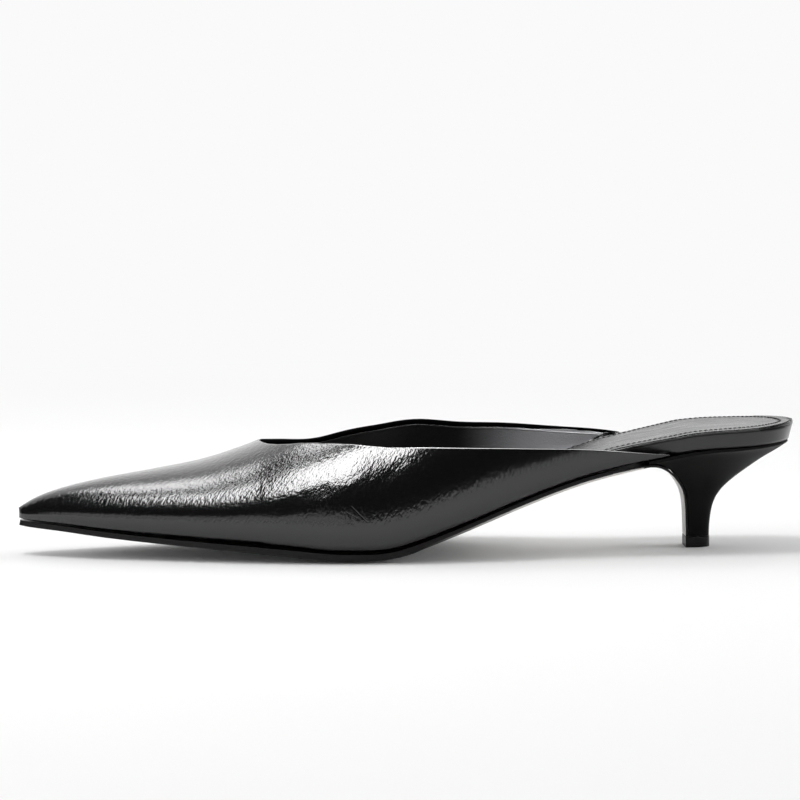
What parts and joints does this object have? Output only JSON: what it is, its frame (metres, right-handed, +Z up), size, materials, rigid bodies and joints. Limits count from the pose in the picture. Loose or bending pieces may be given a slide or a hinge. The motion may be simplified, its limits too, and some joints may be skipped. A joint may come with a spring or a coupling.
{
  "type": "kitten heel mule",
  "caption": "Left kitten heel mule: pointed backless leather upper with a slanting throat, thin sole with toe spring, padded footbed and a low waisted heel with a wear tip.",
  "frame": {"origin": "on the floor, under the middle of the shoe's length and width", "axes": "+X from the toe to the heel, -Y the outer side of this left shoe, +Z up"},
  "size_m": [0.265, 0.0779, 0.0435],
  "materials": {
    "upper_leather": "glazed, finely crinkled, glossy",
    "band_leather": "smooth, glossy",
    "sock_leather": "smooth, satin",
    "sole": "waxed black edge, satin tread",
    "heel_cover": "thin matt cover, fine upright grain",
    "heel_tip": "moulded, satin"
  },
  "bodies": {
    "root": {"upper": "upper_leather", "insole_board": "band_leather", "sock": "sock_leather", "outsole": "sole", "heel": "heel_cover", "top_piece": "heel_tip"}
  },
  "joints": []
}
